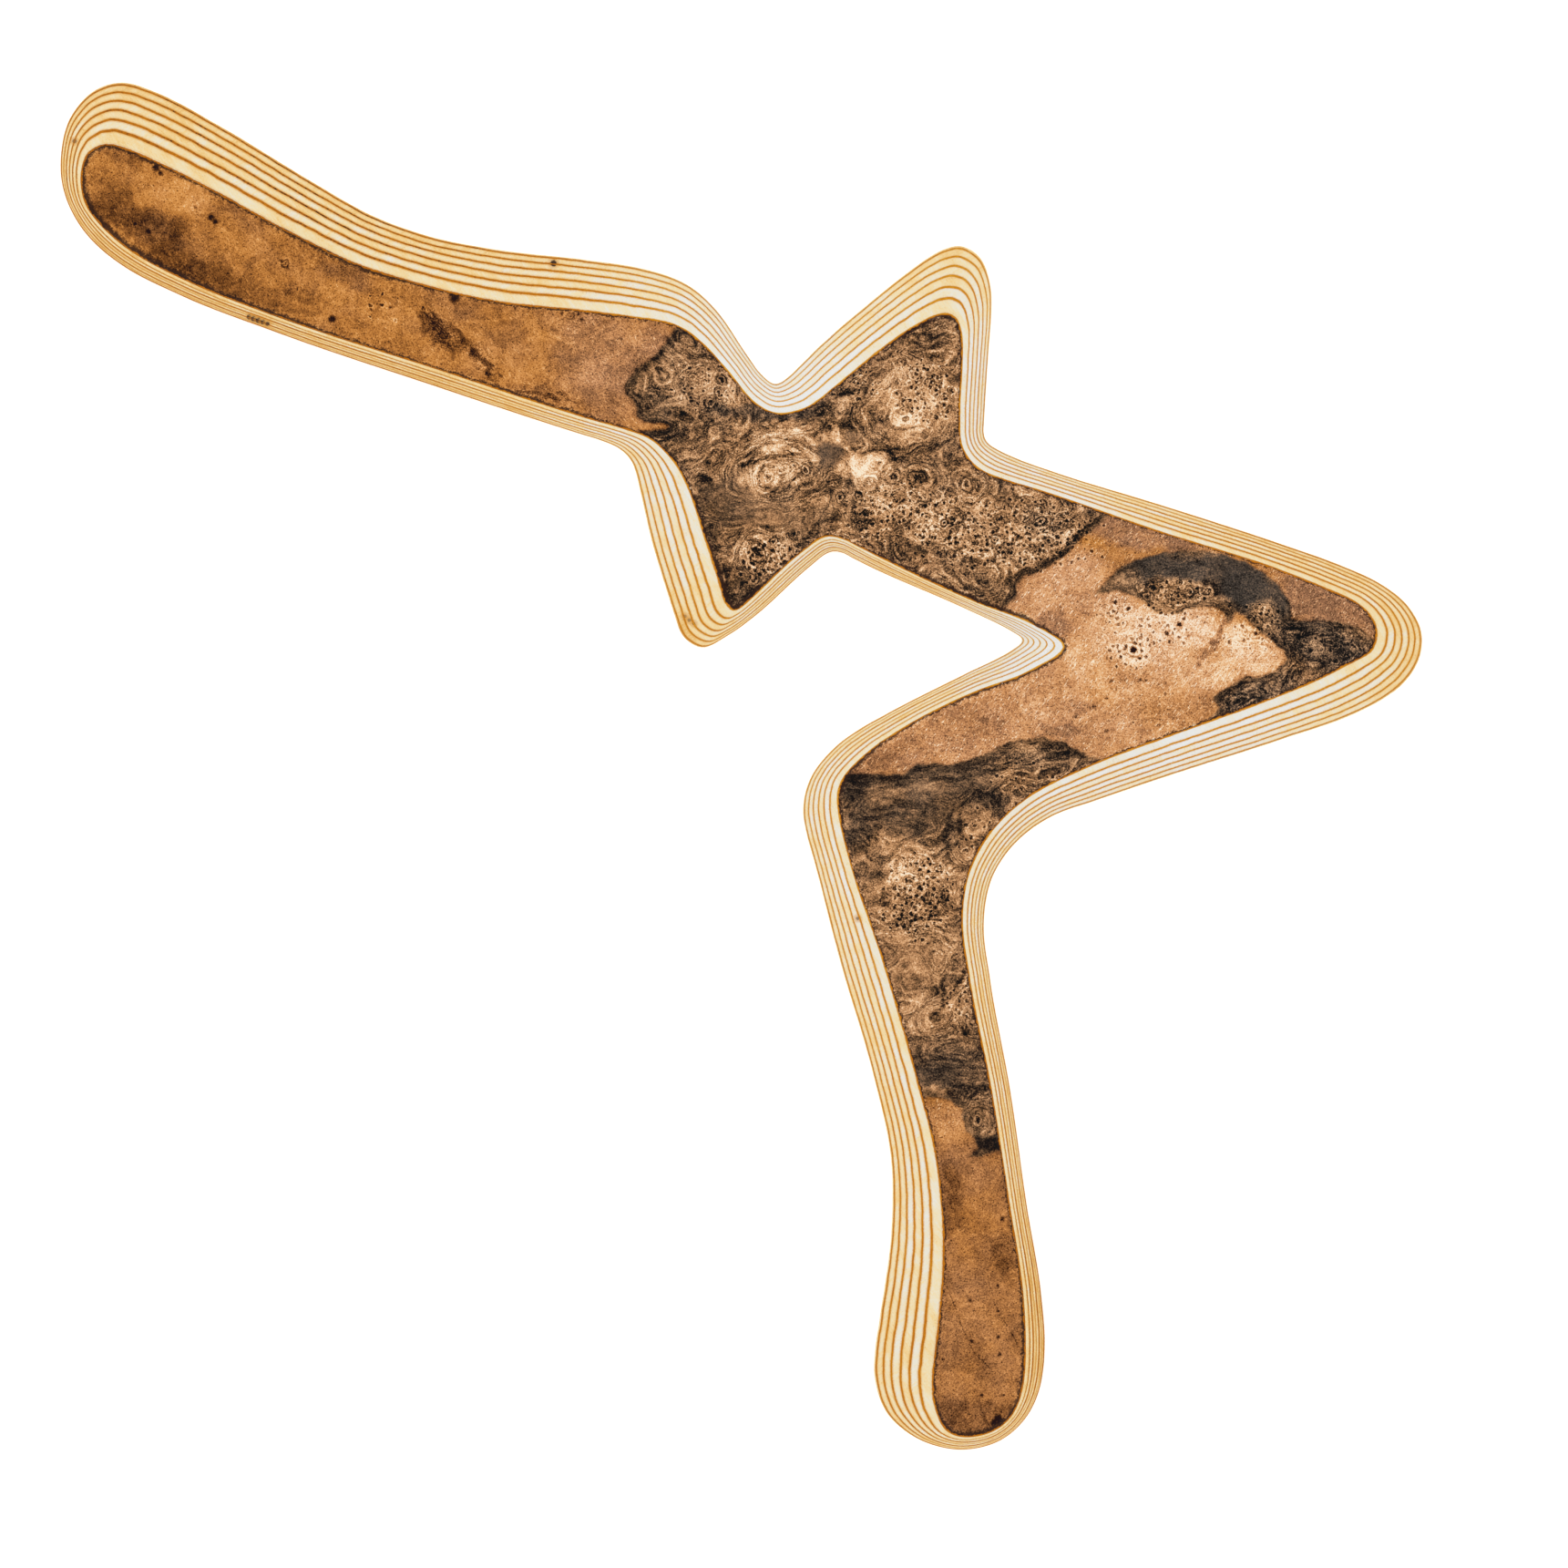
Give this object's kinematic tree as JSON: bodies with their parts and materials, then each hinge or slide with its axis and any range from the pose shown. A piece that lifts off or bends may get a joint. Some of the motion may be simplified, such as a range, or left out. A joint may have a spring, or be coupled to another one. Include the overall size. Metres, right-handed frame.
{
  "type": "boomerang",
  "caption": "Flat laminated plywood boomerang with round-ended arms, a hooked elbow, a horned middle and a burl veneer face with bevelled ply edges.",
  "frame": {"origin": "centre of the bounding box on the flat underside", "axes": "lies flat, burl face up (+Z); seen from above the long arm points up and to the left (-X, +Y) and the short arm points down (-Y)"},
  "size_m": [0.351, 0.3524, 0.0046],
  "materials": {
    "burl_veneer": "satin lacquer over burl figure",
    "birch_ply_1": "satin lacquer over sanded birch",
    "birch_ply_2": "satin lacquer over sanded birch",
    "birch_ply_3": "satin lacquer over sanded birch",
    "birch_ply_4": "satin lacquer over sanded birch",
    "birch_ply_5": "satin lacquer over sanded birch",
    "birch_ply_6": "satin lacquer over sanded birch",
    "birch_ply_7": "satin lacquer over sanded birch",
    "birch_ply_8": "satin lacquer over sanded birch",
    "burl_glue_film": "cured phenolic glue film",
    "glue_film_1": "cured phenolic glue film",
    "glue_film_2": "cured phenolic glue film",
    "glue_film_3": "cured phenolic glue film",
    "glue_film_4": "cured phenolic glue film",
    "glue_film_5": "cured phenolic glue film",
    "glue_film_6": "cured phenolic glue film",
    "glue_film_7": "cured phenolic glue film"
  },
  "bodies": {
    "root": {"burl_veneer": "burl_veneer", "birch_ply_1": "birch_ply_1", "birch_ply_2": "birch_ply_2", "birch_ply_3": "birch_ply_3", "birch_ply_4": "birch_ply_4", "birch_ply_5": "birch_ply_5", "birch_ply_6": "birch_ply_6", "birch_ply_7": "birch_ply_7", "birch_ply_8": "birch_ply_8", "burl_glue_film": "burl_glue_film", "glue_film_1": "glue_film_1", "glue_film_2": "glue_film_2", "glue_film_3": "glue_film_3", "glue_film_4": "glue_film_4", "glue_film_5": "glue_film_5", "glue_film_6": "glue_film_6", "glue_film_7": "glue_film_7"}
  },
  "joints": []
}
